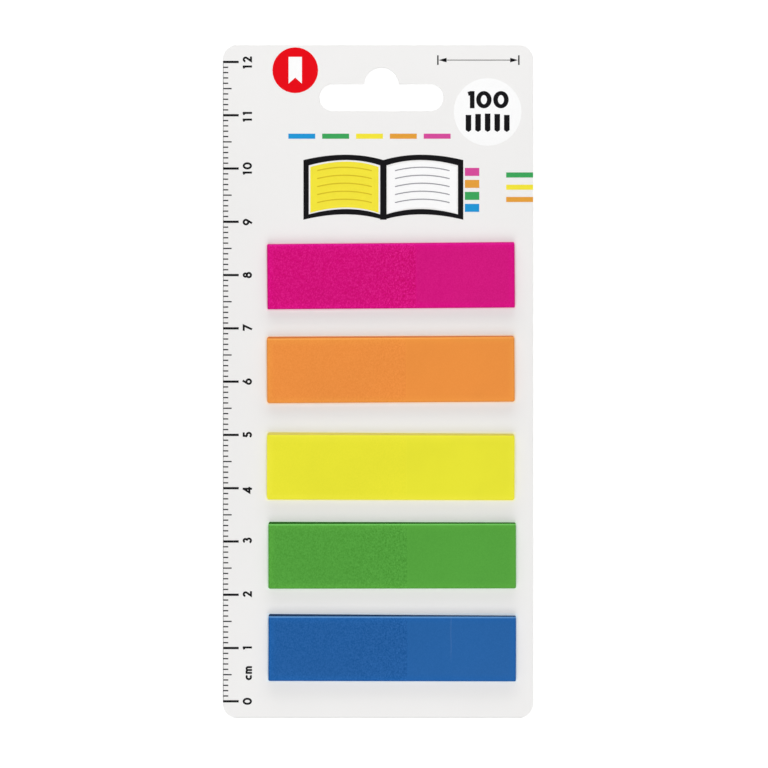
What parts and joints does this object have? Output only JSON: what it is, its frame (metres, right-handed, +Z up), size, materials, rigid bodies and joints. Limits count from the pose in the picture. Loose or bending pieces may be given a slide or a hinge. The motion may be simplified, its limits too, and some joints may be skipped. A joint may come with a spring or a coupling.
{
  "type": "sticky index tabs on a backing card",
  "caption": "Pads of coloured plastic film flags stuck on a pale plastic card with a hang hole and a printed ruler.",
  "frame": {"origin": "centre of the card's underside, on the surface that it lies on", "axes": "+Z up out of the card's printed face, +Y along the card towards its hang hole, +X towards the flags' free ends"},
  "size_m": [0.0582, 0.1264, 0.0017],
  "materials": {
    "card": "frosted pale plastic sheet",
    "film_pink": "satin translucent film",
    "film_orange": "satin translucent film",
    "film_yellow": "satin translucent film",
    "film_green": "satin translucent film",
    "film_blue": "satin translucent film",
    "ink_black": "satin printing ink",
    "ink_white": "satin printing ink",
    "ink_red": "satin printing ink",
    "ink_pink": "satin printing ink",
    "ink_orange": "satin printing ink",
    "ink_yellow": "satin printing ink",
    "ink_green": "satin printing ink",
    "ink_blue": "satin printing ink"
  },
  "bodies": {
    "root": {"backing_card": "card", "flag_pad_pink": "film_pink", "flag_pad_orange": "film_orange", "flag_pad_yellow": "film_yellow", "flag_pad_green": "film_green", "flag_pad_blue": "film_blue", "print_ruler_scale": "ink_black", "print_white_spot": "ink_white", "print_red_spot": "ink_red", "print_strip_pink": "ink_pink", "print_strip_orange": "ink_orange", "print_strip_yellow": "ink_yellow", "print_strip_green": "ink_green", "print_strip_blue": "ink_blue", "print_edge_strip_orange": "ink_orange", "print_edge_strip_yellow": "ink_yellow", "print_edge_strip_green": "ink_green", "print_book_cover": "ink_black", "print_book_page_left": "ink_yellow", "print_book_page_right": "ink_white", "print_book_tab_blue": "ink_blue", "print_book_tab_green": "ink_green", "print_book_tab_orange": "ink_orange", "print_book_tab_pink": "ink_pink"}
  },
  "joints": []
}
